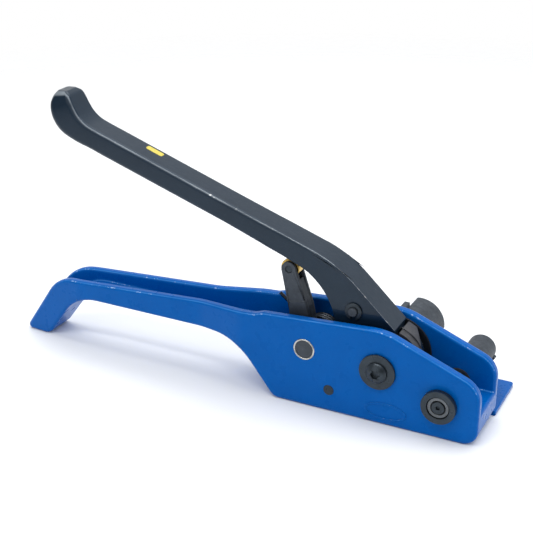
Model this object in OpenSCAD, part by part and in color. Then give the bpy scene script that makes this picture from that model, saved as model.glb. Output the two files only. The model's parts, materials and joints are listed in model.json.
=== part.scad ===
// Manual strapping tensioner: a hand lever turns a slotted windlass through a ratchet.
// X runs along the tool towards the nose, Y across it towards the strap table, Z up.
// The origin is on the underside of the body, straight below the windlass axis.

/* [Body casting] */
// Half width of the body across the two walls
body_half_w = 21; // [20:0.5:23]
// Half width of the clear channel between the body walls
channel_half_w = 14.5; // [14:0.25:15]
// Half width of the narrower hand arm
arm_half_w = 15; // [14:0.5:16]
// Half width of the channel in the hand arm
arm_channel_half_w = 9; // [8:0.5:10]
// Distance from the windlass axis to the nose end
nose_x = 66.2; // [65:0.2:70]
// Height of the wall crown above the ground
crown_z = 65.5; // [65:0.25:68]
// Height of the solid bridge that joins the walls at the nose
bridge_h = 20.5; // [16:0.5:22]
// Thickness of the channel floor
floor_t = 5; // [4:0.5:6]
// Length of the foot and arm behind the windlass axis
foot_reach = 282.5; // [275:0.5:290]

/* [Windlass and ratchet] */
// Height of the windlass axis above the ground
windlass_z = 37.4; // [36:0.2:38]
// Radius of the slotted drum
drum_r = 17.5; // [15:0.5:18]
// Radius of the windlass shaft
shaft_r = 8; // [7:0.5:8.5]
// Far end of the drum across the strap table
drum_end_y = 58; // [50:1:60]
// Width of the slot that takes the strap end
strap_slot_w = 3.4; // [2:0.2:5]
// Turn of the slot from upright at rest, towards the nose
strap_slot_turn = 100; // [0:5:175]
// Number of ratchet teeth
tooth_count = 12; // [10:1:16]
// Tip radius of the ratchet wheel
wheel_r = 19.2; // [18:0.2:19.4]

/* [Hand lever] */
// Half width of the lever bar
lever_half_w = 10.5; // [10:0.25:11]
// Radius of the lever's near hub plate on the windlass shaft
hub_near_r = 21; // [20.6:0.2:22]
// Radius of the lever's far hub plate
hub_far_r = 20.6; // [20:0.2:21]
// Half width of the gap between the lever's cheeks
cheek_gap = 5.4; // [5.2:0.1:6]
// Radius of the drive pawl pin
drive_pin_r = 3; // [2.4:0.1:3.2]

/* [Holding pawl and release bracket] */
// Distance of the pawl pin behind the windlass axis
pawl_pin_back = 50.8; // [50:0.2:53]
// Height of the pawl pin above the ground
pawl_pin_z = 40.9; // [40:0.2:42]
// Radius of the pawl pin
pawl_pin_r = 6.2; // [5:0.1:6.3]
// Radius of the brass roller under the lever
roller_r = 6.4; // [6:0.1:7]

/* [Gripper and strap table] */
// Distance of the gripper shaft ahead of the windlass axis
gripper_x = 41.4; // [40:0.2:43]
// Height of the gripper shaft above the ground
gripper_z = 23.8; // [23:0.2:25]
// Radius of the eccentric gripper cylinder
gripper_r = 9.5; // [9:0.25:10]
// Far edge of the strap table
table_end_y = 64; // [60:1:68]
// Thickness of the strap table
table_t = 3.5; // [3:0.25:4.5]

/* [Hidden] */

// Colours of the materials
blue = [0.00, 0.35, 0.66];
black = [0.14, 0.16, 0.18];
dark_steel = [0.26, 0.28, 0.30];
brown_steel = [0.36, 0.33, 0.32];
bright_steel = [0.78, 0.77, 0.74];
brass_yellow = [0.80, 0.62, 0.25];
label_yellow = [0.90, 0.83, 0.30];

// Fits and small gaps
press_gap = 0.02;
running_gap = 0.05;
side_gap = 0.3;
overrun = 1;
arc_steps = 10;
oval_steps = 48;

pawl_pin_x = -pawl_pin_back;
gripper_lift = [2.6, 3.2];

// Unit vector along v
function unit(v) = v / norm(v);

// Arc that rounds corner b between a and c with radius r
function corner(a, b, c, r) =
    r <= 0 ? [b] :
    let (
        u = unit(a - b),
        v = unit(c - b),
        half = acos(u * v) / 2,
        centre = b + unit(u + v) * (r / sin(half)),
        start = b + u * (r / tan(half)) - centre,
        stop = b + v * (r / tan(half)) - centre,
        from_a = atan2(start[1], start[0]),
        turn = atan2(stop[1], stop[0]) - from_a,
        sweep = turn > 180 ? turn - 360 : turn < -180 ? turn + 360 : turn
    )
    [for (i = [0:arc_steps])
        let (angle = from_a + sweep * i / arc_steps)
        centre + r * [cos(angle), sin(angle)]];

// Closed outline through [x, y, corner radius] triples
function rounded(p) =
    let (n = len(p))
    [for (i = [0:n - 1])
        let (a = p[(i + n - 1) % n], b = p[i], c = p[(i + 1) % n])
        each corner([a[0], a[1]], [b[0], b[1]], [c[0], c[1]], b[2])];

// Ellipse outline
function oval(half_x, half_y) =
    [for (i = [1:oval_steps])
        let (angle = i * 360 / oval_steps)
        [half_x * cos(angle), half_y * sin(angle)]];

// Outline in the XZ plane stood up and given a thickness from y0 to y1
module upright(y0, y1) {
    translate([0, y1, 0]) rotate([90, 0, 0]) linear_extrude(height = y1 - y0) children();
}

// Round bar along Y from y0 to y1
module rod(x, z, r, y0, y1) {
    translate([x, y1, z]) rotate([90, 0, 0]) cylinder(r = r, h = y1 - y0, $fn = 64);
}

// Ring along Y
module ring(x, z, r_out, r_in, y0, y1) {
    difference() {
        rod(x, z, r_out, y0, y1);
        rod(x, z, r_in, y0 - overrun, y1 + overrun);
    }
}

// Close-wound coil shown as touching wire rings round an axis along Y
module coil(x, z, coil_r, wire_r, y0, turns) {
    pitch = 2.15 * wire_r;
    for (i = [0:turns - 1])
        translate([x, y0 + wire_r + i * pitch, z]) rotate([90, 0, 0])
            rotate_extrude($fn = 48) translate([coil_r, 0]) circle(r = wire_r, $fn = 16);
}

// ---- Body casting ----

// Side outline of the whole casting: foot, arm, walls and nose
top_slope_end = [nose_x, 40.65];
foot_tip_x = -foot_reach;
body_side = rounded([
    [foot_tip_x, 0, 3],
    [-260, 0, 10],
    [-232.5, 37, 35],
    [-100.7, 36.2, 35],
    [-73, 0, 8],
    [nose_x, 0, 10],
    [top_slope_end[0], top_slope_end[1], 16],
    [3.4, crown_z, 40],
    [-81, 60.2, 4],
    [-87.5, 58, 6],
    [-248.3, 48.5, 30]
]);

// Side outline of the open channel, with its floor one thickness above the underside
channel_side = rounded([
    [foot_tip_x - 20, 9, 0],
    [-260, 9, 4],
    [-237, 42, 34],
    [-98, 41, 36],
    [-66, floor_t, 8],
    [52, floor_t, 4],
    [52, bridge_h, 3],
    [nose_x + 10, bridge_h, 0],
    [nose_x + 10, 90, 0],
    [foot_tip_x - 20, 90, 0]
]);

// Plan outline that narrows at the foot and widens from the arm to the body
foot_bend_x = -230;
foot_taper = 5;
module plan(arm_w, body_w) {
    polygon(rounded([
        [foot_tip_x - 1, -arm_w + foot_taper, 0],
        [foot_bend_x, -arm_w, 60],
        [-130, -arm_w, 50],
        [-98, -body_w, 50],
        [nose_x + 5, -body_w, 0],
        [nose_x + 5, body_w, 0],
        [-98, body_w, 50],
        [-130, arm_w, 50],
        [foot_bend_x, arm_w, 60],
        [foot_tip_x - 1, arm_w - foot_taper, 0]
    ]));
}

windlass_bush_r = 11;
gripper_bush_r = 8.5;
pawl_ring_r = 7.4;
anchor_x = -33;
anchor_z = 15.5;
anchor_r = 3.6;

module body() {
    wall = body_half_w + overrun;
    color(blue) difference() {
        intersection() {
            upright(-wall, wall) polygon(body_side);
            translate([0, 0, -overrun]) linear_extrude(height = 90) plan(arm_half_w, body_half_w);
        }
        intersection() {
            upright(-wall, wall) polygon(channel_side);
            translate([0, 0, -overrun]) linear_extrude(height = 95)
                plan(arm_channel_half_w, channel_half_w);
        }
        rod(0, windlass_z, windlass_bush_r, -wall, wall);
        rod(gripper_x, gripper_z, gripper_bush_r, -wall, wall);
        rod(pawl_pin_x, pawl_pin_z, pawl_ring_r, -wall, wall);
        rod(anchor_x, anchor_z, anchor_r, -wall, wall);
        rod(guide_x, guide_z, guide_tenon_r, channel_half_w - overrun, wall);
    }
}

// Strap table: the flat plate that carries the strap beside the far wall
table_back_x = -46;
module strap_table() {
    color(blue) difference() {
        linear_extrude(height = table_t) polygon(rounded([
            [table_back_x, body_half_w, 0],
            [nose_x, body_half_w, 0],
            [nose_x, table_end_y, 2],
            [table_back_x, table_end_y, 6]
        ]));
        for (y = anvil_screw_y)
            translate([gripper_x, y, -overrun])
                cylinder(r = anvil_screw_r, h = table_t + 2 * overrun, $fn = 32);
    }
}

// Plain raised oval rim on the near wall
module side_emboss() {
    color(blue) upright(-body_half_w - 0.5, -body_half_w) translate([6.2, 9.9]) difference() {
        polygon(oval(14, 6));
        polygon(oval(12.8, 4.8));
    }
}

// Hardened anvil under the gripper, held by two screws from below
anvil_w = 22;
anvil_top = 9.4;
anvil_y0 = 25;
anvil_screw_y = [32, 50];
anvil_screw_r = 2.5;
module anvil_block() {
    color(dark_steel) difference() {
        translate([gripper_x - anvil_w / 2, anvil_y0, table_t])
            cube([anvil_w, drum_end_y - anvil_y0, anvil_top - table_t]);
        for (y = anvil_screw_y)
            translate([gripper_x, y, table_t - overrun]) cylinder(r = anvil_screw_r, h = 4, $fn = 32);
        for (i = [0:6])
            translate([gripper_x - 9 + i * 3, anvil_y0 - overrun, anvil_top]) rotate([0, 45, 0])
                translate([-0.35, 0, -0.35]) cube([0.7, drum_end_y, 0.7]);
    }
}

module anvil_screws() {
    color(bright_steel) for (y = anvil_screw_y)
        translate([gripper_x, y, 0]) difference() {
            cylinder(r = anvil_screw_r - press_gap, h = table_t + 2.6, $fn = 32);
            translate([0, 0, -overrun]) cylinder(r = 1.4, h = 2.5, $fn = 6);
        }
}

// Guide bar that keeps the strap on the drum
guide_x = -3;
guide_z = 57.8;
guide_half = 1.9;
guide_tenon_r = 1.5;
guide_end_y = 38;
module strap_guide_bar() {
    color(dark_steel) {
        rod(guide_x, guide_z, guide_tenon_r - press_gap, channel_half_w + 0.5, body_half_w + 0.1);
        translate([guide_x - guide_half, body_half_w, guide_z - guide_half])
            cube([2 * guide_half, guide_end_y - body_half_w, 2 * guide_half]);
    }
}

// ---- Bushings, pins and spacers fixed in the casting ----

module windlass_bushing(y0, y1) {
    color(dark_steel) ring(0, windlass_z, windlass_bush_r - press_gap, shaft_r + running_gap, y0, y1);
}

module windlass_bushing_near() {
    windlass_bushing(-body_half_w, -channel_half_w);
}

module windlass_bushing_far() {
    windlass_bushing(channel_half_w, body_half_w);
}

gripper_shaft_r = 6;
module gripper_bushing(y0, y1) {
    color(dark_steel)
        ring(gripper_x, gripper_z, gripper_bush_r - press_gap, gripper_shaft_r + running_gap, y0, y1);
}

module gripper_bushing_near() {
    gripper_bushing(-body_half_w, -channel_half_w);
}

module gripper_bushing_far() {
    gripper_bushing(channel_half_w, body_half_w);
}

module pawl_pin() {
    color(dark_steel) rod(pawl_pin_x, pawl_pin_z, pawl_pin_r, -body_half_w + 0.2, body_half_w - 0.2);
}

module pawl_pin_ring(y0, y1) {
    color(bright_steel)
        ring(pawl_pin_x, pawl_pin_z, pawl_ring_r - press_gap, pawl_pin_r + press_gap, y0, y1);
}

module pawl_pin_ring_near() {
    pawl_pin_ring(-body_half_w - 0.15, -channel_half_w);
}

module pawl_pin_ring_far() {
    pawl_pin_ring(channel_half_w, body_half_w + 0.15);
}

module anchor_pin() {
    color(black) rod(anchor_x, anchor_z, anchor_r - press_gap, -body_half_w - 0.1, body_half_w + 0.1);
}

hub_outer_y = 9.5;
spacer_r = 12.5;
module hub_spacer_near() {
    color(dark_steel)
        ring(0, windlass_z, spacer_r, shaft_r + running_gap, -channel_half_w, -hub_outer_y - side_gap);
}

// Dark flange on the windlass shaft between the lever's hub and the far wall
flange_r = 23.5;
flange_t = 1.2;
module shaft_flange() {
    color(black)
        ring(0, windlass_z, flange_r, shaft_r + press_gap,
            channel_half_w - side_gap - flange_t, channel_half_w - side_gap);
}

// Sleeve and torsion spring beside the release bracket, on the pawl pin
sleeve_r = 9.4;
sleeve_y0 = 2.9;
spring_wire_r = 1.15;
spring_turns = 4;
hook_length = 27;
module spring_sleeve() {
    color(dark_steel)
        ring(pawl_pin_x, pawl_pin_z, sleeve_r, pawl_pin_r + press_gap, sleeve_y0, channel_half_w);
}

module pawl_spring() {
    coil_r = sleeve_r + spring_wire_r + running_gap;
    leg_y = sleeve_y0 + spring_wire_r + 0.6;
    leg_foot = [pawl_pin_x - 0.77 * coil_r, pawl_pin_z + 0.64 * coil_r];
    hook_turn = -51.9;
    color(dark_steel) {
        coil(pawl_pin_x, pawl_pin_z, coil_r, spring_wire_r, sleeve_y0 + 0.6, spring_turns);
        translate([leg_foot[0], leg_y, leg_foot[1]]) rotate([0, hook_turn, 0])
            cylinder(r = spring_wire_r, h = hook_length, $fn = 24);
        translate([pawl_pin_x + 2, leg_y + 8.6, pawl_pin_z - coil_r]) rotate([0, 90, 0])
            cylinder(r = spring_wire_r, h = 20, $fn = 24);
    }
}

// ---- Windlass ----

drum_y0 = 22.6;
// Flat on the drum: its distance from the axis, and its turn towards the foot
drum_flat_r = 12;
drum_flat_turn = -55;
shaft_end_y = -21.1;
screw_r = 4;
key_w = 3;
key_rise = 1.6;
slot_floor = 3.5;

module windlass_drum() {
    color(dark_steel) difference() {
        union() {
            rod(0, windlass_z, shaft_r, shaft_end_y, drum_y0 + overrun);
            rod(0, windlass_z, drum_r, drum_y0, drum_end_y);
        }
        translate([0, drum_y0 + slot_floor, windlass_z]) rotate([0, strap_slot_turn, 0])
            translate([-strap_slot_w / 2, 0, -drum_r - overrun])
                cube([strap_slot_w, drum_end_y, 2 * drum_r + 2 * overrun]);
        translate([0, drum_y0 + slot_floor, windlass_z]) rotate([0, drum_flat_turn, 0])
            translate([-drum_r, 0, drum_flat_r])
                cube([2 * drum_r, drum_end_y, drum_r]);
        rod(0, windlass_z, screw_r, shaft_end_y - overrun, shaft_end_y + 20);
        translate([-key_w / 2, -wheel_half_w, windlass_z + shaft_r - key_rise])
            cube([key_w, 2 * wheel_half_w, key_rise + overrun]);
    }
}

// Saw-toothed wheel outline, one notch a tooth
wheel_half_w = 4.8;
tooth_depth = 3.4;
wheel_outline = [for (i = [0:tooth_count - 1])
    let (a = i * 360 / tooth_count, step = 360 / tooth_count)
    each [
        wheel_r * [cos(a), sin(a)],
        wheel_r * [cos(a + 0.2 * step), sin(a + 0.2 * step)],
        (wheel_r - tooth_depth) * [cos(a + 0.3 * step), sin(a + 0.3 * step)],
        (wheel_r - 0.5 * tooth_depth) * [cos(a + 0.7 * step), sin(a + 0.7 * step)]
    ]];

module ratchet_wheel() {
    color(brown_steel) difference() {
        upright(-wheel_half_w, wheel_half_w) translate([0, windlass_z]) polygon(wheel_outline);
        rod(0, windlass_z, shaft_r + press_gap, -wheel_half_w - overrun, wheel_half_w + overrun);
        translate([-key_w / 2 - press_gap, -wheel_half_w - overrun, windlass_z])
            cube([key_w + 2 * press_gap, 2 * wheel_half_w + 2 * overrun, shaft_r + key_rise]);
    }
}

module ratchet_key() {
    end_gap = 0.1;
    key_z = windlass_z + shaft_r - key_rise;
    color(bright_steel)
        translate([-key_w / 2 + press_gap, -wheel_half_w + end_gap, key_z + running_gap])
            cube([key_w - 2 * press_gap, 2 * (wheel_half_w - end_gap), 2 * (key_rise - running_gap)]);
}

washer_r = 12;
washer_y0 = -22.9;
module windlass_washer() {
    color(black) difference() {
        union() {
            rod(0, windlass_z, washer_r, washer_y0, -21.3);
            rod(0, windlass_z, shaft_r - 0.5, -21.4, shaft_end_y);
        }
        rod(0, windlass_z, screw_r + 0.1, washer_y0 - overrun, shaft_end_y + overrun);
    }
}

// Button-head screw: a short rim with a dome on it and a hexagonal socket
head_r = 7;
head_h = 4.2;
rim_h = 1;
socket_r = 2.9;
socket_depth = 2.8;
dome_steps = 8;
dome_h = head_h - rim_h;
dome_r = (head_r * head_r + dome_h * dome_h) / (2 * dome_h);
dome_rim_angle = asin(head_r / dome_r);
dome = concat(
    [[0, -0.2], [head_r, -0.2]],
    [for (i = [dome_steps:-1:0])
        let (angle = dome_rim_angle * i / dome_steps)
        [dome_r * sin(angle), dome_h - dome_r * (1 - cos(angle))]]
);
module windlass_screw() {
    color(black) difference() {
        union() {
            rod(0, windlass_z, screw_r - running_gap, washer_y0, shaft_end_y + 17);
            rod(0, windlass_z, head_r, washer_y0 - rim_h, washer_y0);
            translate([0, washer_y0 - rim_h, windlass_z]) rotate([90, 0, 0]) rotate_extrude($fn = 64)
                polygon(dome);
        }
        rod_hex(0, windlass_z, socket_r, washer_y0 - head_h - overrun,
            washer_y0 - head_h + socket_depth);
    }
}

// Hexagonal socket along Y
module rod_hex(x, z, r, y0, y1) {
    translate([x, y1, z]) rotate([90, 0, 0]) cylinder(r = r, h = y1 - y0, $fn = 6);
}

module drum_thrust_ring() {
    color(bright_steel)
        ring(0, windlass_z, 14, shaft_r + press_gap, body_half_w + 0.3, drum_y0 - press_gap);
}

// ---- Hand lever ----

drive_pin_x = -21.9;
drive_pin_z = 69.5;

strip_bend = [-33.8, 99.9];
knob_bend = [-223, 166.5];
knob_top_z = 184.8;

// Side outline of the lever from the thumb knob to the foot of its top strip
lever_side = rounded([
    [-242.5, knob_top_z, 6],
    [-247.5, 169, 14],
    [-237, 156, 18],
    [-216, 150.6, 20],
    [-34, 83.8, 45],
    [-34, 46, 8],
    [-16, 36, 0],
    [4, 48, 0],
    [6.2, 62.4, 1],
    [strip_bend[0], strip_bend[1], 85],
    [knob_bend[0], knob_bend[1], 22],
    [-230.5, knob_top_z, 5]
]);

// Plan and front outlines that round the knob's corners
knob_plan = rounded([
    [-249, -lever_half_w, 7],
    [20, -lever_half_w, 0],
    [20, lever_half_w, 0],
    [-249, lever_half_w, 7]
]);
knob_front = rounded([
    [-lever_half_w, 0, 0],
    [lever_half_w, 0, 0],
    [lever_half_w, knob_top_z, 8],
    [-lever_half_w, knob_top_z, 8]
]);

// Space between the cheeks, under the top strip
lever_gap = rounded([
    [-44, 76, 0],
    [-44, 88.5, 5],
    [-34, 91, 10],
    [0.5, 58.5, 0],
    [40, 40, 0],
    [40, 0, 0],
    [-44, 0, 0]
]);

// The cheeks stand in from the top strip, which shows as a raised rim along them
cheek_side = rounded([
    [-46, 101.5, 0],
    [-32.6, 96.6, 60],
    [5.2, 61, 1],
    [30, 40, 0],
    [30, 0, 0],
    [-60, 0, 0],
    [-60, 76, 30]
]);

module lever() {
    color(black) difference() {
        intersection() {
            upright(-lever_half_w, lever_half_w) polygon(lever_side);
            linear_extrude(height = knob_top_z + overrun) polygon(knob_plan);
            translate([-260, 0, 0]) rotate([90, 0, 90]) linear_extrude(height = 300) polygon(knob_front);
        }
        upright(-cheek_gap, cheek_gap) polygon(lever_gap);
        for (s = [-1, 1])
            upright(min(s * hub_outer_y, s * 20), max(s * hub_outer_y, s * 20)) polygon(cheek_side);
        rod(drive_pin_x, drive_pin_z, drive_pin_r, -lever_half_w - overrun, lever_half_w + overrun);
        rod(0, windlass_z, hub_near_r + press_gap, -lever_half_w - overrun, cheek_gap - side_gap);
        rod(0, windlass_z, hub_far_r + press_gap, cheek_gap - side_gap, lever_half_w + overrun);
    }
}

// Hub plates: the two thick rings that carry the lever on the windlass shaft
module hub_plate(r, y0, y1) {
    ring(0, windlass_z, r, shaft_r + running_gap, y0, y1);
}

module hub_plate_near() {
    color(brown_steel) hub_plate(hub_near_r, -hub_outer_y, -cheek_gap);
}

module hub_plate_far() {
    color(black) hub_plate(hub_far_r, cheek_gap, hub_outer_y);
}

// Curved guard over the ratchet wheel that joins the hub plates ahead of the top strip.
// Its far half stands a step higher, and narrows to a point round the nose side.
guard_from = -10;
guard_to = 71;
guard_near_r = 23;
guard_far_r = 24;
guard_far_plan = [[0, 0], [0, 10.8], [13.6, 10.8], [20.4, 0.6], [20.4, 0]];
module wheel_guard() {
    reach = 60;
    middle = (guard_from + guard_to) / 2;
    color(brown_steel) intersection() {
        union() {
            ring(0, windlass_z, guard_near_r, wheel_r + 0.5, -cheek_gap, 0.2);
            intersection() {
                ring(0, windlass_z, guard_far_r, hub_far_r + press_gap, 0, channel_half_w);
                linear_extrude(height = crown_z) polygon(guard_far_plan);
            }
        }
        upright(-cheek_gap - overrun, channel_half_w) translate([0, windlass_z]) polygon([
            [0, 0],
            reach * [cos(guard_from), sin(guard_from)],
            reach * [cos(middle), sin(middle)],
            reach * [cos(guard_to), sin(guard_to)]
        ]);
    }
}

// Yellow oval label on the top of the lever
lever_pitch = atan2(knob_bend[1] - strip_bend[1], strip_bend[0] - knob_bend[0]);
label_x = -172.5;
label_y = 4.2;
label_z = strip_bend[1] + (strip_bend[0] - label_x) * tan(lever_pitch);
label_half_l = 7.2;
label_half_w = 2.7;
module lever_label() {
    color(label_yellow) translate([label_x, label_y, label_z]) rotate([0, lever_pitch, 0])
        linear_extrude(height = 0.25) polygon(oval(label_half_l, label_half_w));
}

drive_pin_end = 12.2;
clip_r = 5.8;
module drive_pin() {
    color(dark_steel)
        rod(drive_pin_x, drive_pin_z, drive_pin_r - press_gap, -drive_pin_end, drive_pin_end);
}

// Retaining clip with an open mouth
module clip(y0, y1) {
    color(black) difference() {
        ring(drive_pin_x, drive_pin_z, clip_r, drive_pin_r, y0, y1);
        translate([drive_pin_x - 1.6, y0 - overrun, drive_pin_z - clip_r - overrun])
            cube([3.2, y1 - y0 + 2 * overrun, clip_r]);
    }
}

module drive_pin_clip_near() {
    clip(-hub_outer_y - 1.2, -hub_outer_y);
}

module drive_pin_clip_far() {
    clip(hub_outer_y, hub_outer_y + 1.2);
}

module drive_spring() {
    color(bright_steel)
        coil(drive_pin_x, drive_pin_z, drive_pin_r + 0.75, 0.6, pawl_half_w + 0.2, 2);
}

// ---- Pawls ----

pawl_half_w = 2.2;
pawl_clear = 0.3;
pawl_eye_r = 5.6;

// Drive pawl: hub on its pin and a nose that stops just short of the tooth tips
module drive_pawl() {
    color(dark_steel) difference() {
        union() {
            rod(drive_pin_x, drive_pin_z, pawl_eye_r, -pawl_half_w, pawl_half_w);
            upright(-pawl_half_w, pawl_half_w) polygon([
                [drive_pin_x - 1.5, drive_pin_z + 5.4],
                [drive_pin_x + 5.5, drive_pin_z + 1],
                [-8.5, 60.5],
                [-6.5, 52],
                [-15, 56],
                [drive_pin_x - 3, drive_pin_z - 4.8]
            ]);
        }
        rod(drive_pin_x, drive_pin_z, drive_pin_r + running_gap, -cheek_gap, cheek_gap);
        rod(0, windlass_z, wheel_r + pawl_clear, -cheek_gap, cheek_gap);
    }
}

bracket_near_y = -8.5;
bracket_far_y = 2.5;
bracket_t = 2.4;
roller_x = -68;
roller_z = 88.5;
bracket_hub_r = 9.5;
bracket_top_r = 5.2;

// One cheek of the release bracket
module bracket_cheek(y0, y1) {
    difference() {
        union() {
            rod(roller_x, roller_z, bracket_top_r, y0, y1);
            rod(pawl_pin_x, pawl_pin_z, bracket_hub_r, y0, y1);
            upright(y0, y1) polygon([
                [roller_x - bracket_top_r + 0.1, roller_z - 1.2],
                [-67, 58],
                [pawl_pin_x - bracket_hub_r, pawl_pin_z],
                [pawl_pin_x + bracket_hub_r, pawl_pin_z],
                [-51.5, 50],
                [-54.6, 64],
                [roller_x + bracket_top_r - 0.7, roller_z + 2]
            ]);
        }
        rod(pawl_pin_x, pawl_pin_z, pawl_pin_r + running_gap, y0 - overrun, y1 + overrun);
        rod(roller_x, roller_z, roller_pin_r, y0 - overrun, y1 + overrun);
    }
}

// Web that joins the cheeks along their nose-side edge, and the thicker foot of the near cheek
bracket_web = [[-52.4, 54], [-54.6, 64], [-61.2, 82], [-63.4, 81.2], [-57, 63.6], [-54.9, 54]];
bracket_pad = [[-67.4, 66.5], [-66.8, 57.6], [-65.6, 55.4], [-52.7, 55.4], [-54.6, 64], [-56.2, 68.6]];
pad_rise = 0.6;

roller_pin_r = 2.4;
roller_pin_recess = 0.7;
module release_bracket() {
    color(dark_steel) {
        bracket_cheek(bracket_near_y, bracket_near_y + bracket_t);
        bracket_cheek(bracket_far_y - bracket_t, bracket_far_y);
        upright(bracket_near_y, bracket_far_y) polygon(bracket_web);
        upright(bracket_near_y - pad_rise, bracket_near_y + bracket_t) polygon(bracket_pad);
    }
}

module holding_pawl() {
    y0 = -cheek_gap + 0.15;
    y1 = bracket_far_y - bracket_t - 0.05;
    mid = (y0 + y1) / 2;
    color(dark_steel) difference() {
        union() {
            rod(pawl_pin_x, pawl_pin_z, bracket_hub_r, y0, y1);
            upright(mid - pawl_half_w, mid + pawl_half_w) polygon([
                [pawl_pin_x + 2, pawl_pin_z + 8.5],
                [-19, 42.5],
                [-17, 37.2],
                [-28, 34.2],
                [pawl_pin_x + 2, pawl_pin_z - 9]
            ]);
        }
        rod(pawl_pin_x, pawl_pin_z, pawl_pin_r + running_gap, y0 - overrun, y1 + overrun);
        rod(0, windlass_z, wheel_r + pawl_clear, -channel_half_w, channel_half_w);
    }
}

module roller_pin() {
    color(black) rod(roller_x, roller_z, roller_pin_r - press_gap,
        bracket_near_y + roller_pin_recess, bracket_far_y - roller_pin_recess);
}

module brass_roller() {
    color(brass_yellow) ring(roller_x, roller_z, roller_r, roller_pin_r + running_gap,
        bracket_near_y + bracket_t + 0.15, bracket_far_y - bracket_t - 0.15);
}

// ---- Gripper ----

gripper_near_y = -22.6;
gripper_y0 = 23;
gripper_end_y = 59;
cam_x = gripper_x + gripper_lift[0];
cam_z = gripper_z + gripper_lift[1];

module gripper_shaft() {
    color(dark_steel) difference() {
        union() {
            rod(gripper_x, gripper_z, gripper_shaft_r, gripper_near_y, gripper_y0 + overrun);
            rod(cam_x, cam_z, gripper_r, gripper_y0, gripper_end_y);
        }
        rod(gripper_x, gripper_z, 3, gripper_near_y - overrun, gripper_near_y + 8);
    }
}

collar_r = 11.2;
collar_y0 = -25.2;
recess_r = 7.4;
module gripper_collar() {
    color(black) difference() {
        rod(gripper_x, gripper_z, collar_r, collar_y0, -body_half_w - side_gap);
        rod(gripper_x, gripper_z, recess_r, collar_y0 - overrun, collar_y0 + 1.6);
        rod(gripper_x, gripper_z, gripper_shaft_r + press_gap, collar_y0, 0);
    }
}

module gripper_clip() {
    color(dark_steel) ring(gripper_x, gripper_z, recess_r - 0.4, 4.8, collar_y0 + 0.7, collar_y0 + 1.6);
}

module gripper_screw() {
    color(black) difference() {
        union() {
            rod(gripper_x, gripper_z, 4.2, collar_y0 + 0.3, gripper_near_y);
            rod(gripper_x, gripper_z, 3 - press_gap, gripper_near_y - 0.5, gripper_near_y + 6);
        }
        rod_hex(gripper_x, gripper_z, 1.5, collar_y0 - overrun, collar_y0 + 2);
    }
}

// Small finger tab on the end of the gripper cylinder
module gripper_tab() {
    color(dark_steel) translate([cam_x, gripper_end_y - 4, cam_z]) rotate([0, 36, 0])
        difference() {
            translate([gripper_r - 1.2, 0, -2.5]) cube([2.6, 4, 5]);
            rod(0, 0, gripper_r + press_gap, -overrun, 5);
        }
}

module gripper_spring() {
    color(bright_steel) coil(gripper_x, gripper_z, gripper_shaft_r + 0.9, 0.8, 3, 4);
}

body();
strap_table();
side_emboss();
anvil_block();
anvil_screws();
strap_guide_bar();
windlass_bushing_near();
windlass_bushing_far();
gripper_bushing_near();
gripper_bushing_far();
pawl_pin();
pawl_pin_ring_near();
pawl_pin_ring_far();
anchor_pin();
hub_spacer_near();
shaft_flange();
spring_sleeve();
pawl_spring();
windlass_drum();
ratchet_wheel();
ratchet_key();
windlass_washer();
windlass_screw();
drum_thrust_ring();
lever();
hub_plate_near();
hub_plate_far();
wheel_guard();
lever_label();
drive_pin();
drive_pin_clip_near();
drive_pin_clip_far();
drive_spring();
drive_pawl();
release_bracket();
holding_pawl();
roller_pin();
brass_roller();
gripper_shaft();
gripper_collar();
gripper_clip();
gripper_screw();
gripper_tab();
gripper_spring();
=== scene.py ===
import json
import math

import bmesh
import bpy
from mathutils import Matrix, Vector


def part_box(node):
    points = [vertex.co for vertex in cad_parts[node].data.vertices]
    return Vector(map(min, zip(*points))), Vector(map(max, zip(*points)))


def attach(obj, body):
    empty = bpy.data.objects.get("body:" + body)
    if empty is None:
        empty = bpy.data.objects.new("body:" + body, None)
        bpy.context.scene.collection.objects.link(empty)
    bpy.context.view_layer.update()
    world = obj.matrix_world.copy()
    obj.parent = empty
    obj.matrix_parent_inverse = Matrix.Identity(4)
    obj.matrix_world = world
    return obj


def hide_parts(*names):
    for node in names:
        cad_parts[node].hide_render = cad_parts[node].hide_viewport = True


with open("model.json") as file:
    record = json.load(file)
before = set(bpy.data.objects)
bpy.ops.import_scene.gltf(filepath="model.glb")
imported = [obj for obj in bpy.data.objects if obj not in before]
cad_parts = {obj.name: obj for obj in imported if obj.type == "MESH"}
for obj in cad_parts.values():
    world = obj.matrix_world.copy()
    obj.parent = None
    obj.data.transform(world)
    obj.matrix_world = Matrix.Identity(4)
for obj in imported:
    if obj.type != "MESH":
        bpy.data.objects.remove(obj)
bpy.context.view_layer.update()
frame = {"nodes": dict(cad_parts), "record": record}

MM = 0.001
scene = bpy.context.scene
scene.view_settings.view_transform = "Standard"

record = frame["record"]
BODY_OF = {node: body for body, nodes in record["behaviour"]["bodies"].items() for node in nodes}
SLOT_OF = {part["node"]: part["material_slot"] for part in record["subparts"]}


# ---- Camera, floor and lights ----

def place_camera(azimuth, elevation, distance, aim, lens):
    """A camera that looks at aim from round the nose end of the tool."""
    turn, lift = math.radians(azimuth), math.radians(elevation)
    back = Vector((math.sin(turn) * math.cos(lift), -math.cos(turn) * math.cos(lift), math.sin(lift)))
    data = bpy.data.cameras.new("camera")
    data.lens = lens
    data.sensor_width = 36
    data.clip_start, data.clip_end = 0.02, 30
    camera = bpy.data.objects.new("camera", data)
    camera.location = aim + back * distance
    camera.rotation_mode = "QUATERNION"
    camera.rotation_quaternion = (-back).to_track_quat("-Z", "Y")
    scene.collection.objects.link(camera)
    scene.camera = camera


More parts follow.
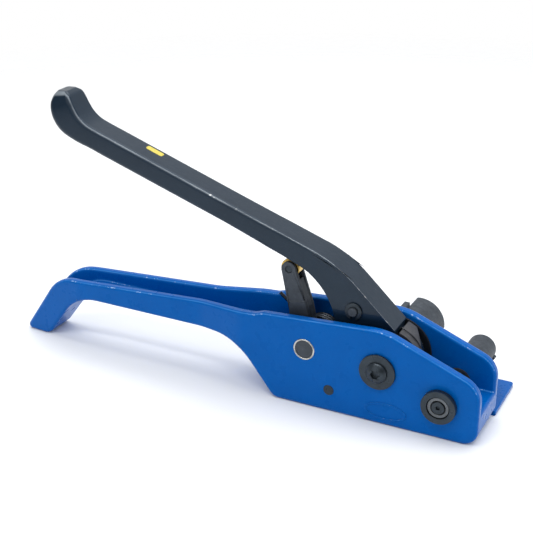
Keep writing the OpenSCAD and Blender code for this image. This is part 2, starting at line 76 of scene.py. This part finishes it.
def softbox(name, place, aim, width, height, power, tint=(1, 1, 1)):
    """A rectangular studio light that faces aim."""
    data = bpy.data.lights.new(name, "AREA")
    data.shape = "RECTANGLE"
    data.size, data.size_y = width, height
    data.energy = power
    data.color = tint
    light = bpy.data.objects.new(name, data)
    light.location = place
    light.rotation_mode = "QUATERNION"
    light.rotation_quaternion = (Vector(aim) - Vector(place)).to_track_quat("-Z", "Y")
    scene.collection.objects.link(light)
    return light


def studio_floor():
    """A pale sheet that the tool stands on, fading into the room's white further out."""
    bm = bmesh.new()
    bmesh.ops.create_grid(bm, x_segments=1, y_segments=1, size=6)
    floor = finished("studio_floor", bm, studio_white())


# ---- Finishes ----

# Sideways part of the surface direction in the middle of a rounded rim
RIM_MIDDLE = 0.7


class Finish:
    """A procedural finish: a principled shader and the texture nodes that feed it."""

    def __init__(self, name, colour, roughness, metallic=0.0, coat=0.0, coat_roughness=0.1, specular=0.5):
        self.material = bpy.data.materials.new(name)
        self.material.use_nodes = True
        self.nodes = self.material.node_tree.nodes
        self.links = self.material.node_tree.links
        self.shader = self.nodes["Principled BSDF"]
        self.set("Base Color", (*colour, 1))
        self.set("Roughness", roughness)
        self.set("Metallic", metallic)
        self.set("Coat Weight", coat)
        self.set("Coat Roughness", coat_roughness)
        self.set("Specular IOR Level", specular)
        self.place = self.nodes.new("ShaderNodeTexCoord").outputs["Object"]
        self.bumps = None

    def set(self, socket, value):
        self.shader.inputs[socket].default_value = value

    def node(self, kind, **values):
        made = self.nodes.new(kind)
        for name, value in values.items():
            setattr(made, name, value)
        return made

    def feed(self, source, socket):
        self.links.new(source, socket)

    def turned_place(self, turn=(0, 0, 0), stretch=(1, 1, 1), centre=(0, 0, 0)):
        """Object coordinates moved to centre, then turned and stretched."""
        shift = self.node("ShaderNodeMapping")
        shift.inputs["Location"].default_value = [-c for c in centre]
        self.feed(self.place, shift.inputs["Vector"])
        spread = self.node("ShaderNodeMapping")
        spread.inputs["Rotation"].default_value = [math.radians(a) for a in turn]
        spread.inputs["Scale"].default_value = stretch
        self.feed(shift.outputs["Vector"], spread.inputs["Vector"])
        return spread.outputs["Vector"]

    def noise(self, grain, detail=2.0, roughness=0.5, place=None):
        """Soft noise whose features are about grain metres across."""
        made = self.node("ShaderNodeTexNoise")
        made.inputs["Scale"].default_value = 1 / grain
        made.inputs["Detail"].default_value = detail
        made.inputs["Roughness"].default_value = roughness
        self.feed(place or self.place, made.inputs["Vector"])
        return made.outputs["Fac"]

    def cells(self, grain, place=None):
        """Distance to the nearest of many scattered points."""
        made = self.node("ShaderNodeTexVoronoi")
        made.inputs["Scale"].default_value = 1 / grain
        self.feed(place or self.place, made.inputs["Vector"])
        return made.outputs["Distance"]

    def remap(self, value, low, high, to_low=0.0, to_high=1.0):
        made = self.node("ShaderNodeMapRange")
        for socket, number in zip(("From Min", "From Max", "To Min", "To Max"), (low, high, to_low, to_high)):
            made.inputs[socket].default_value = number
        self.feed(value, made.inputs["Value"])
        return made.outputs["Result"]

    def maths(self, operation, first, second):
        made = self.node("ShaderNodeMath", operation=operation)
        for socket, value in zip(made.inputs, (first, second)):
            if isinstance(value, (int, float)):
                socket.default_value = value
            else:
                self.feed(value, socket)
        return made.outputs["Value"]

    def mixed(self, amount, first, second):
        """first where amount is 0 and second where it is 1; each is a colour or a socket."""
        made = self.node("ShaderNodeMix", data_type="RGBA")
        self.feed(amount, made.inputs["Factor"])
        for socket, value in ((made.inputs[6], first), (made.inputs[7], second)):
            if isinstance(value, tuple):
                socket.default_value = (*value, 1)
            else:
                self.feed(value, socket)
        return made.outputs[2]

    def rims(self, edge, full):
        """1 along the middle of the upward rounded rims, fading out from full to edge of their turn."""
        facing = self.node("ShaderNodeSeparateXYZ")
        self.feed(self.nodes.new("ShaderNodeTexCoord").outputs["Normal"], facing.inputs["Vector"])
        sideways = self.maths("ABSOLUTE", facing.outputs["Y"], 0.0)
        inner = self.remap(sideways, edge, full)
        outer = self.remap(sideways, 2 * RIM_MIDDLE - full, 2 * RIM_MIDDLE - edge, 1.0, 0.0)
        rim = self.maths("MULTIPLY", inner, outer)
        return self.maths("MULTIPLY", rim, self.remap(facing.outputs["Z"], 0.2, 0.4))

    def highlight_and_worn_rims(self, base, highlight_and_rub_colour, worn, amount, wide_highlight_and_wear_x):
        """Rims given a pale line, partly wear from handling and partly a painted highlight, with chips; past
        wide_highlight_and_wear_x along X the painted line is wider and the chips are thick.
        """
        along = self.node("ShaderNodeSeparateXYZ")
        self.feed(self.place, along.inputs["Vector"])
        at_end = self.remap(along.outputs["X"], wide_highlight_and_wear_x, wide_highlight_and_wear_x + 0.02)
        # Past wide_highlight_and_wear_x along X the rim mask widens, so the painted highlight is broader
        # there.
        wide_rim = self.maths("MULTIPLY", at_end, self.rims(0.3, 0.45))
        rim = self.maths("MAXIMUM", self.rims(0.5, 0.64), wide_rim)
        # Painted highlight: a pale line along the middle of the rims stands in for a reflection of the
        # lights, and is partly wear from handling; the chips below are wear.
        highlight_and_rub = self.maths("MULTIPLY", rim, self.remap(self.noise(0.03, 3.0), 0.3, 0.6, 0.35 * amount, amount))
        chips = self.remap(self.noise(0.0022, 3.0, 0.65), 0.57, 0.62)
        patches = self.maths("MAXIMUM", self.remap(self.noise(0.019, 1.0), 0.52, 0.58), at_end)
        chipped = self.maths("MULTIPLY", rim, self.maths("MULTIPLY", chips, patches))
        return self.mixed(chipped, self.mixed(highlight_and_rub, base, highlight_and_rub_colour), worn)

    def colour(self, source):
        self.feed(source, self.shader.inputs["Base Color"])

    def roughness(self, source):
        self.feed(source, self.shader.inputs["Roughness"])

    def raise_by(self, height, depth, strength=1.0):
        """Bump from a height map; later calls add to earlier ones."""
        made = self.node("ShaderNodeBump")
        made.inputs["Distance"].default_value = depth
        made.inputs["Strength"].default_value = strength
        self.feed(height, made.inputs["Height"])
        if self.bumps:
            self.feed(self.bumps, made.inputs["Normal"])
        self.bumps = made.outputs["Normal"]
        self.feed(self.bumps, self.shader.inputs["Normal"])
        return self


def studio_white():
    finish = Finish("studio_white", (0.86, 0.87, 0.88), 0.85, specular=0.1)
    cloudy = finish.noise(0.4, 1.0)
    finish.colour(finish.mixed(cloudy, (0.86, 0.87, 0.885), (0.875, 0.885, 0.90)))
    reach = finish.node("ShaderNodeVectorMath", operation="LENGTH")
    finish.feed(finish.place, reach.inputs["Vector"])
    finish.feed(finish.remap(reach.outputs["Value"], 0.6, 1.1, 1.0, 0.0), finish.shader.inputs["Alpha"])
    return finish.material


def powder_coat(name, colour, deep, pale, roughness, coat, highlight_and_rub_colour, worn, shine, highlight_and_rub=0.6, wide_highlight_and_wear_x=1.0):
    """Sprayed coating: slight mottle, orange peel, dust specks under the gloss, a pale line along the rims
    that is partly a painted highlight and partly wear, and chipped rims.
    """
    finish = Finish(name, colour, roughness, coat=coat, coat_roughness=0.08, specular=0.25)
    finish.set("Specular Tint", (*shine, 1))
    clouds = finish.remap(finish.noise(0.022, 3.0), 0.3, 0.7)
    base = finish.mixed(clouds, deep, colour)
    fine = finish.remap(finish.noise(0.0011, 2.0), 0.56, 0.74, 0.0, 0.35)
    base = finish.mixed(fine, base, pale)
    finish.colour(finish.highlight_and_worn_rims(base, highlight_and_rub_colour, worn, highlight_and_rub, wide_highlight_and_wear_x))
    finish.roughness(finish.remap(finish.noise(0.006, 2.0), 0.3, 0.7, roughness - 0.05, roughness + 0.06))
    finish.raise_by(finish.noise(0.0024, 1.0), 0.00012, 0.5)
    specks = finish.remap(finish.cells(0.009), 0.04, 0.07, 1.0, 0.0)
    finish.raise_by(specks, 0.00012, 0.6)
    return finish.material


def matt_steel(name, colour, pale, roughness=0.55, metallic=0.55, speck=0.3):
    """Blackened steel with a fine mottled grain and small bright specks."""
    finish = Finish(name, colour, roughness, metallic=metallic)
    clouds = finish.remap(finish.noise(0.007, 4.0, 0.6), 0.32, 0.68)
    base = finish.mixed(clouds, tuple(0.78 * c for c in colour), tuple(1.18 * c for c in colour))
    glints = finish.remap(finish.noise(0.0007, 1.0), 0.66, 0.78, 0.0, speck)
    finish.colour(finish.mixed(glints, base, pale))
    finish.roughness(finish.remap(finish.noise(0.002, 3.0), 0.3, 0.7, roughness - 0.09, roughness + 0.09))
    finish.raise_by(finish.noise(0.0009, 3.0), 0.00008, 0.55)
    return finish.material


def turned_metal(name, colour, dark, roughness, centre, axis_turn=(90, 0, 0), metallic=1.0):
    """Lathe-turned metal: fine rings round an axis, with a little staining."""
    finish = Finish(name, colour, roughness, metallic=metallic)
    place = finish.turned_place(turn=axis_turn, centre=centre)
    rings = finish.node("ShaderNodeTexWave", wave_type="RINGS", rings_direction="Z")
    rings.inputs["Scale"].default_value = 700
    rings.inputs["Distortion"].default_value = 1.2
    rings.inputs["Detail"].default_value = 2
    finish.feed(place, rings.inputs["Vector"])
    stain = finish.remap(finish.noise(0.004, 3.0), 0.35, 0.7)
    base = finish.mixed(stain, dark, colour)
    finish.colour(finish.mixed(finish.remap(rings.outputs["Fac"], 0.0, 1.0, 0.0, 0.25), base, dark))
    finish.roughness(finish.remap(finish.noise(0.003, 2.0), 0.3, 0.7, roughness - 0.06, roughness + 0.08))
    finish.raise_by(rings.outputs["Fac"], 0.00003, 0.5)
    return finish.material


def printed_label():
    finish = Finish("printed_label", (0.64, 0.52, 0.05), 0.32, coat=0.3, coat_roughness=0.1)
    mottle = finish.remap(finish.noise(0.0018, 3.0), 0.35, 0.65)
    finish.colour(finish.mixed(mottle, (0.56, 0.45, 0.04), (0.68, 0.56, 0.07)))
    finish.roughness(finish.remap(finish.noise(0.002, 2.0), 0.3, 0.7, 0.26, 0.42))
    finish.raise_by(finish.noise(0.0008, 2.0), 0.00004, 0.4)
    return finish.material


# ---- Shapes ----

def finished(name, bm, material, sharp=40):
    """A mesh object at the origin from a bmesh, smooth shaded up to the sharp angle."""
    mesh = bpy.data.meshes.new(name)
    for face in bm.faces:
        face.smooth = True
    bm.to_mesh(mesh)
    bm.free()
    mesh.set_sharp_from_angle(angle=math.radians(sharp))
    mesh.materials.append(material)
    piece = bpy.data.objects.new(name, mesh)
    scene.collection.objects.link(piece)
    return piece


def cad_copy(node):
    """A copy of a CAD node's mesh with its doubles merged and its flat faces joined."""
    bm = bmesh.new()
    bm.from_mesh(frame["nodes"][node].data)
    bmesh.ops.remove_doubles(bm, verts=bm.verts, dist=0.002 * MM)
    bmesh.ops.dissolve_degenerate(bm, dist=0.002 * MM, edges=bm.edges)
    bmesh.ops.dissolve_limit(
        bm, angle_limit=math.radians(0.6), use_dissolve_boundaries=False,
        verts=bm.verts, edges=bm.edges, delimit=set(),
    )
    return bm


def round_edges(piece, weight_of, width, segments=3):
    """A Bevel modifier that rounds each edge by width times weight_of(edge ends, face angle)."""
    mesh = piece.data
    bm = bmesh.new()
    bm.from_mesh(mesh)
    layer = bm.edges.layers.float.get("bevel_weight_edge") or bm.edges.layers.float.new("bevel_weight_edge")
    for edge in bm.edges:
        if len(edge.link_faces) != 2:
            continue
        angle = math.degrees(edge.calc_face_angle(0))
        ends = [v.co / MM for v in edge.verts]
        edge[layer] = weight_of(ends, angle)
    bm.to_mesh(mesh)
    bm.free()
    bevel = piece.modifiers.new("rounded_edges", "BEVEL")
    bevel.width = width
    bevel.segments = segments
    bevel.limit_method = "WEIGHT"
    bevel.use_clamp_overlap = False
    bevel.profile = 0.5
    weigh_normals(piece)


def weigh_normals(piece):
    """Keeps large flat faces flat in the shading beside their rounded edges."""
    shading = piece.modifiers.new("flat_face_shading", "WEIGHTED_NORMAL")
    shading.keep_sharp = True
    shading.weight = 60


def stand_for(piece, node):
    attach(piece, BODY_OF[node])
    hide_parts(node)


# Edge rounding that isn't the usual 0.3 mm
EDGE_WIDTHS = {"side_emboss": 0.15, "strap_table": 0.8, "windlass_drum": 0.6}


def softened(node, material, width):
    """A CAD node's shape with its sharp edges broken, as a piece in its place."""
    piece = finished(node + "_piece", cad_copy(node), material, sharp=35)
    round_edges(piece, lambda ends, angle: 1.0 if angle > 28 else 0.0, width * MM, segments=2)
    stand_for(piece, node)


# ---- The tool ----

def body_edge_weight(ends, angle):
    """Full rounding on the casting's outer edges, a touch on its bores."""
    if angle < 25:
        return 0.0
    for x, z, radius in bores:
        if all(abs(math.hypot(p.x - x, p.z - z) - radius) < 0.3 for p in ends):
            return 0.15
    return 1.0


def axis_of(node):
    """Centre of a round node in the XZ plane, and its radius, in millimetres."""
    low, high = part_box(node)
    return ((low.x + high.x) / 2 / MM, (low.z + high.z) / 2 / MM, (high.x - low.x) / 2 / MM)


bores = [
    axis_of("windlass_bushing_near"), axis_of("gripper_bushing_near"),
    axis_of("pawl_pin_ring_near"), axis_of("anchor_pin"),
]


def casting(paint):
    piece = finished("body_casting", cad_copy("body"), paint, sharp=35)
    round_edges(piece, body_edge_weight, 2.0 * MM, 4)
    stand_for(piece, "body")


# Half widths of the lever's bar and of its cheeks, in millimetres
LEVER_HALF_W = 10.5
CHEEK_HALF_W = 9.5
# Where the bar's sides start to draw in towards the cheeks, and over what length
BLEND_X = -82.0
BLEND_Z = 105.0
FADE_LENGTH = 30.0
# Top corner of the recess that leaves the rim standing along the cheeks
RECESS_X = -46.0
RECESS_TOP_Z = 101.5
# Bend and foot of the top strip
STRIP_BEND_X = -33.8
STRIP_FOOT_X = 6.2
# Shares of the full edge rounding on the strip and on fine edges
STRIP_ROUND = 0.27
FINE_ROUND = 0.06
# Stretch of the bar over which the rounding goes from full to the strip's
TAPER_X = -112.0
TAPER_LENGTH = 56.0
TAPER_STEPS = 6
# The bar's direction towards the knob, seen from the side
BAR_RUN = Vector((-0.939, 0, 0.345))


def lever_edge_weight(ends, angle):
    """Strong rounding along the bar, less on the thin strip and cheeks by the pivot."""
    if angle < 25:
        return 0.0
    nose_x = max(p.x for p in ends)
    middle = (ends[0] + ends[1]) / 2
    if all(abs(p.y) > LEVER_HALF_W - 0.3 for p in ends) and nose_x < STRIP_FOOT_X - 1:
        if middle.z < rim_line(middle.x):
            return FINE_ROUND if nose_x > BLEND_X + 1 else 1.0
        return 1.0 - (1.0 - STRIP_ROUND) * min(1.0, max(0.0, (middle.x - TAPER_X) / TAPER_LENGTH))
    return FINE_ROUND


def rim_line(x):
    """Height of a line that runs just under the top rim, from the bar to the foot of the strip."""
    if x < RECESS_X:
        return 96.5 + 0.35 * (RECESS_X - x)
    on_strip = max(0.0, x - STRIP_BEND_X)
    return 102.3 - 0.79 * on_strip - 0.30 * min(x - RECESS_X, STRIP_BEND_X - RECESS_X)


def fade_cheeks(bm):
    """Draws the bar's sides in to the cheeks over a long slope, so that no step crosses them."""
    start = Vector((BLEND_X, 0, BLEND_Z)) * MM
    spacing = BAR_RUN * MM * TAPER_LENGTH / TAPER_STEPS
    for shift in (0, *(step - 1.5 for step in range(1, TAPER_STEPS))):
        bmesh.ops.bisect_plane(
            bm, geom=[*bm.verts, *bm.edges, *bm.faces], dist=1e-6,
            plane_co=start + spacing * shift, plane_no=BAR_RUN,
        )
    for v in bm.verts:
        x, y, z = v.co / MM
        if abs(y) < LEVER_HALF_W - 0.3:
            continue
        if math.hypot(x - RECESS_X, z - RECESS_TOP_Z) < 0.4:
            v.co.y = math.copysign(CHEEK_HALF_W, y) * MM
        elif z <= rim_line(x) and x <= RECESS_X - 1.5:
            share = min(1.0, max(0.0, (Vector((x, 0, z)) - start / MM).dot(-BAR_RUN) / FADE_LENGTH))
            v.co.y = math.copysign(LEVER_HALF_W - (LEVER_HALF_W - CHEEK_HALF_W) * share, y) * MM
    bmesh.ops.remove_doubles(bm, verts=bm.verts, dist=0.05 * MM)


# Stations along the thumb knob, in the side view: (front x, front z), (back x, back z), half width
KNOB_STATIONS = [
    ((-200.7, 158.7), (-206.0, 144.6), 10.5),
    ((-211.0, 162.3), (-215.2, 147.9), 10.5),
    ((-217.5, 165.2), (-227.3, 151.7), 10.5),
    ((-222.5, 169.4), (-238.3, 157.2), 10.5),
    ((-226.0, 174.6), (-244.4, 165.2), 10.4),
    ((-228.2, 179.0), (-246.0, 173.5), 10.0),
    ((-230.4, 182.6), (-244.0, 180.2), 8.8),
    ((-233.8, 184.6), (-240.8, 184.3), 6.0),
]
KNOB_STEPS = 6


def smooth_between(stations, step):
    """A point on the smooth curve through the stations; step counts stations."""
    last = len(stations) - 1
    i = min(int(step), last - 1)
    t = step - i
    before, a, b, after = (stations[min(max(i + k, 0), last)] for k in (-1, 0, 1, 2))
    return [
        0.5 * (2 * q + (r - p) * t + (2 * p - 5 * q + 4 * r - s) * t * t + (3 * q - p - 3 * r + s) * t ** 3)
        for p, q, r, s in zip(before, a, b, after)
    ]


def grow_knob(bm):
    """Carries the open end of the bar on into the curled thumb knob and closes it."""
    flat = [(*front, *back, half) for front, back, half in KNOB_STATIONS]
    rim = [e for e in bm.edges if e.is_boundary]
    verts = list({v for e in rim for v in e.verts})
    start = smooth_between(flat, 0)
    front, back = Vector((start[0], 0, start[1])), Vector((start[2], 0, start[3]))
    middle, across = (front + back) / 2, (front - back).normalized()
    half_depth = (front - back).length / 2
    local = {v: (((v.co / MM) - middle).dot(across) / half_depth, v.co.y / MM / start[4]) for v in verts}
    count = (len(flat) - 1) * KNOB_STEPS
    for k in range(1, count + 1):
        grown = bmesh.ops.extrude_edge_only(bm, edges=rim)["geom"]
        new_verts = [g for g in grown if isinstance(g, bmesh.types.BMVert)]
        new_rim = [g for g in grown if isinstance(g, bmesh.types.BMEdge)]
        x0, z0, x1, z1, half = smooth_between(flat, k / KNOB_STEPS)
        front, back = Vector((x0, 0, z0)), Vector((x1, 0, z1))
        moved = {v: local[min(local, key=lambda old: (old.co - v.co).length)] for v in new_verts}
        for v, (depth, side) in moved.items():
            v.co = ((front + back) / 2 + (front - back) / 2 * depth + Vector((0, side * half, 0))) * MM
        local, rim = moved, new_rim
    bmesh.ops.contextual_create(bm, geom=rim)
    bmesh.ops.recalc_face_normals(bm, faces=bm.faces)


def lever_bar(paint):
    """The bar is cut off below the knob and rounded, and the knob is grown on its open end."""
    bm = cad_copy("lever")
    fade_cheeks(bm)
    cut = Vector((-203.0, 0, 152.6)) * MM
    along = Vector((-0.9357, 0, 0.3528))
    foot_z = KNOB_STATIONS[0][1][1] * MM
    bmesh.ops.bisect_plane(
        bm, geom=[*bm.verts, *bm.edges, *bm.faces], dist=1e-6, plane_co=cut, plane_no=along,
        clear_outer=True, clear_inner=False,
    )
    for v in bm.verts:
        if (v.co - cut).dot(along) > -1e-5 and v.co.z < cut.z:
            v.co += along.cross(Vector((0, -1, 0))) * (v.co.z - foot_z) / along.x
    bar = finished("hand_lever_blank", bm, paint, sharp=35)
    round_edges(bar, lever_edge_weight, 3.6 * MM, 5)
    bpy.context.view_layer.update()
    bm = bmesh.new()
    bar.modifiers.remove(bar.modifiers["flat_face_shading"])
    bm.from_object(bar, bpy.context.evaluated_depsgraph_get())
    bpy.data.objects.remove(bar)
    grow_knob(bm)
    piece = finished("hand_lever_bar", bm, paint, sharp=35)
    weigh_normals(piece)
    stand_for(piece, "lever")


# Coil springs without legs: wire radius and turns
COILS = {"drive_spring": (0.6, 1.6), "gripper_spring": (0.8, 3.5)}


def label_plate(material):
    """Blunt-ended printed label on the top of the lever, in its CAD node's place."""
    low, high = (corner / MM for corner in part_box("lever_label"))
    middle = (low + high) / 2 * MM
    length = (high - low).xz.length * 0.88 * MM
    slope = math.atan2(high.z - low.z, high.x - low.x)
    bm = bmesh.new()
    bmesh.ops.create_grid(bm, x_segments=1, y_segments=1, size=0.5)
    bmesh.ops.scale(bm, verts=bm.verts, vec=(length, (high.y - low.y) * 0.88 * MM, 1))
    bmesh.ops.bevel(
        bm, geom=bm.verts[:], offset=1.3 * MM, affect="VERTICES", segments=3, profile=0.5, material=-1,
    )
    bmesh.ops.solidify(bm, geom=bm.faces[:], thickness=0.5 * MM)
    bmesh.ops.rotate(bm, verts=bm.verts, matrix=Matrix.Rotation(slope, 3, "Y"))
    bmesh.ops.translate(bm, verts=bm.verts, vec=middle)
    bmesh.ops.recalc_face_normals(bm, faces=bm.faces)
    stand_for(finished("lever_label_plate", bm, material), "lever_label")


def wire_piece(name, points, radius, material, sides=12):
    """A round wire carried along the points by extruding its rim from each to the next."""
    bm = bmesh.new()
    points = [Vector(p) * MM for p in points]
    runs = [(b - a).normalized() for a, b in zip(points, points[1:])]
    headings = [runs[0]] + [(a + b).normalized() for a, b in zip(runs, runs[1:])] + [runs[-1]]
    turn = headings[0].to_track_quat("Z", "Y")
    bmesh.ops.create_circle(
        bm, cap_ends=True, segments=sides, radius=radius * MM,
        matrix=Matrix.Translation(points[0]) @ turn.to_matrix().to_4x4(),
    )
    rim = list(bm.edges)
    for k in range(1, len(points)):
        made = bmesh.ops.extrude_edge_only(bm, edges=rim)["geom"]
        rim = [g for g in made if isinstance(g, bmesh.types.BMEdge)]
        verts = [g for g in made if isinstance(g, bmesh.types.BMVert)]
        swing = headings[k - 1].rotation_difference(headings[k]).to_matrix()
        bmesh.ops.translate(bm, verts=verts, vec=points[k] - points[k - 1])
        bmesh.ops.rotate(bm, verts=verts, cent=points[k], matrix=swing)
    bmesh.ops.contextual_create(bm, geom=rim)
    bmesh.ops.recalc_face_normals(bm, faces=bm.faces)
    return finished(name, bm, material, sharp=50)


def helix(x, z, radius, y0, y1, start, end, steps_per_turn=36):
    """Points on a helix about an axis along Y; start and end are angles from +X towards +Z."""
    count = max(2, round(abs(end - start) / 360 * steps_per_turn))
    for i in range(count + 1):
        turn = math.radians(start + (end - start) * i / count)
        yield x + radius * math.cos(turn), y0 + (y1 - y0) * i / count, z + radius * math.sin(turn)


def plain_coil(node, wire_r, turns, material, slot):
    """A close-wound coil in the space of its CAD node."""
    low, high = (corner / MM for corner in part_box(node))
    radius = (high.x - low.x) / 2 - wire_r
    x, z = (low.x + high.x) / 2, (low.z + high.z) / 2
    path = helix(x, z, radius, low.y + wire_r, high.y - wire_r, 40, 40 + 360 * turns)
    stand_for(wire_piece(node + "_wire", list(path), wire_r, material), node)


def pawl_spring(material):
    """Torsion spring on the pawl pin's sleeve: a straight leg up beside the bracket and one along the floor.
    """
    wire_r = 1.15
    x, z, sleeve_r = axis_of("spring_sleeve")
    low, high = (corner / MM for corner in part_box("pawl_spring"))
    radius = sleeve_r + wire_r + 0.05
    near_y, far_y = low.y + wire_r, high.y - wire_r
    tip = Vector((low.x + 0.9, near_y, high.z - 0.8))
    foot = Vector((x - 0.77 * radius, near_y, z + 0.64 * radius))
    leg = [tip.lerp(foot, t) for t in (0, 0.12, 0.5, 0.9)]
    coil = list(helix(x, z, radius, near_y, far_y, 146, 270 + 3 * 360))
    floor_leg = [(x + reach, far_y, z - radius) for reach in (2, 8, 16, high.x - x)]
    wire = wire_piece("pawl_spring_wire", [*leg, *coil, *floor_leg], wire_r, material)
    stand_for(wire, "pawl_spring")


def build():
    # On the body the light-blue rim colour paints a highlight streak along the rims, partly wear.
    blue = powder_coat(
        "blue_powder_coat", (0.0, 0.095, 0.385), (0.0, 0.086, 0.355), (0.0, 0.14, 0.46), 0.3, 0.08,
        highlight_and_rub_colour=(0.06, 0.25, 0.62), worn=(0.35, 0.5, 0.75), shine=(0.02, 0.35, 1.0),
    )
    # On the lever the pale grey rim colour paints a highlight line along the rims, partly wear; the
    # near-white is chips.
    satin = powder_coat(
        "satin_black_coat", (0.005, 0.013, 0.026), (0.003, 0.010, 0.021), (0.012, 0.022, 0.038), 0.4, 0.35,
        highlight_and_rub_colour=(0.26, 0.29, 0.32), worn=(0.8, 0.8, 0.8), shine=(0.5, 0.75, 1.0), highlight_and_rub=0.8,
        wide_highlight_and_wear_x=-0.055,
    )
    dark = matt_steel("blackened_steel", (0.050, 0.060, 0.074), (0.22, 0.23, 0.24))
    brown = matt_steel("brown_hard_steel", (0.078, 0.079, 0.088), (0.26, 0.25, 0.24), 0.42, 0.7)
    flange_black = matt_steel("flange_black", (0.010, 0.014, 0.020), (0.06, 0.07, 0.08), 0.5, 0.3, 0.1)
    clip_steel = matt_steel("clip_steel", (0.11, 0.12, 0.13), (0.5, 0.5, 0.5), 0.34, 0.8, 0.2)
    wire = matt_steel("spring_wire", (0.045, 0.050, 0.058), (0.5, 0.5, 0.5), 0.22, 0.9, 0.1)
    oxide = matt_steel("black_oxide", (0.027, 0.037, 0.047), (0.16, 0.17, 0.18), 0.34, 0.6, 0.15)
    bright = turned_metal("ground_steel", (0.62, 0.61, 0.58), (0.36, 0.35, 0.33), 0.26, (0, 0, 0.0374))
    brass = turned_metal("turned_brass", (0.74, 0.52, 0.16), (0.50, 0.33, 0.09), 0.30, (-0.068, 0, 0.0885))
    finish_of = {
        "blue_paint": blue, "lever_black": satin, "dark_steel": dark, "brown_steel": brown,
        "black_oxide": oxide, "bright_steel": bright, "brass": brass, "label_yellow": printed_label(),
    }
    special = {"shaft_flange": flange_black, "gripper_clip": clip_steel}
    casting(blue)
    lever_bar(satin)
    for node in sorted(BODY_OF):
        slot = SLOT_OF[node]
        if node in ("body", "lever"):
            continue
        if node == "lever_label":
            label_plate(finish_of[slot])
        elif node in COILS:
            plain_coil(node, *COILS[node], finish_of[slot], slot)
        elif node == "pawl_spring":
            pawl_spring(wire)
        else:
            softened(node, special.get(node, finish_of[slot]), EDGE_WIDTHS.get(node, 0.3))


def studio_world():
    """A room that is bright behind and above the tool and dim in front of it, pale where it is seen."""
    world = bpy.data.worlds.new("studio_room")
    world.use_nodes = True
    nodes, links = world.node_tree.nodes, world.node_tree.links
    room = nodes["Background"]
    room.inputs["Color"].default_value = (0.96, 0.98, 1.0, 1)
    split = nodes.new("ShaderNodeSeparateXYZ")
    links.new(nodes.new("ShaderNodeTexCoord").outputs["Generated"], split.inputs["Vector"])
    fade = nodes.new("ShaderNodeMapRange")
    fade.interpolation_type = "SMOOTHSTEP"
    for socket, value in (("From Min", -0.75), ("From Max", 0.35), ("To Min", 0.12), ("To Max", 0.9)):
        fade.inputs[socket].default_value = value
    links.new(split.outputs["Y"], fade.inputs["Value"])
    links.new(fade.outputs["Result"], room.inputs["Strength"])
    seen = nodes.new("ShaderNodeBackground")
    seen.inputs["Color"].default_value = (1.0, 1.0, 1.0, 1)
    either = nodes.new("ShaderNodeMixShader")
    links.new(nodes.new("ShaderNodeLightPath").outputs["Is Camera Ray"], either.inputs["Fac"])
    links.new(room.outputs["Background"], either.inputs[1])
    links.new(seen.outputs["Background"], either.inputs[2])
    links.new(either.outputs["Shader"], nodes["World Output"].inputs["Surface"])
    scene.world = world


AIM = Vector((-0.115532, 0.055662, 0.055741))
place_camera(azimuth=26.424, elevation=23.991, distance=0.825195, aim=AIM, lens=78.213)
studio_floor()
softbox("overhead_softbox", (-0.1, 0.35, 1.3), (-0.1, 0.05, 0), 1.5, 1.0, 12)
softbox("nose_side_softbox", (1.4, 0.4, 0.5), (0, 0, 0.05), 0.8, 0.8, 4)
softbox("front_strip", (-0.044, -0.68, 1.235), (-0.1, 0, 0.12), 1.7, 0.14, 9)
softbox("front_fill", (-0.5, -1.7, 0.7), (-0.1, 0, 0.05), 2.0, 1.2, 9)
studio_world()
build()
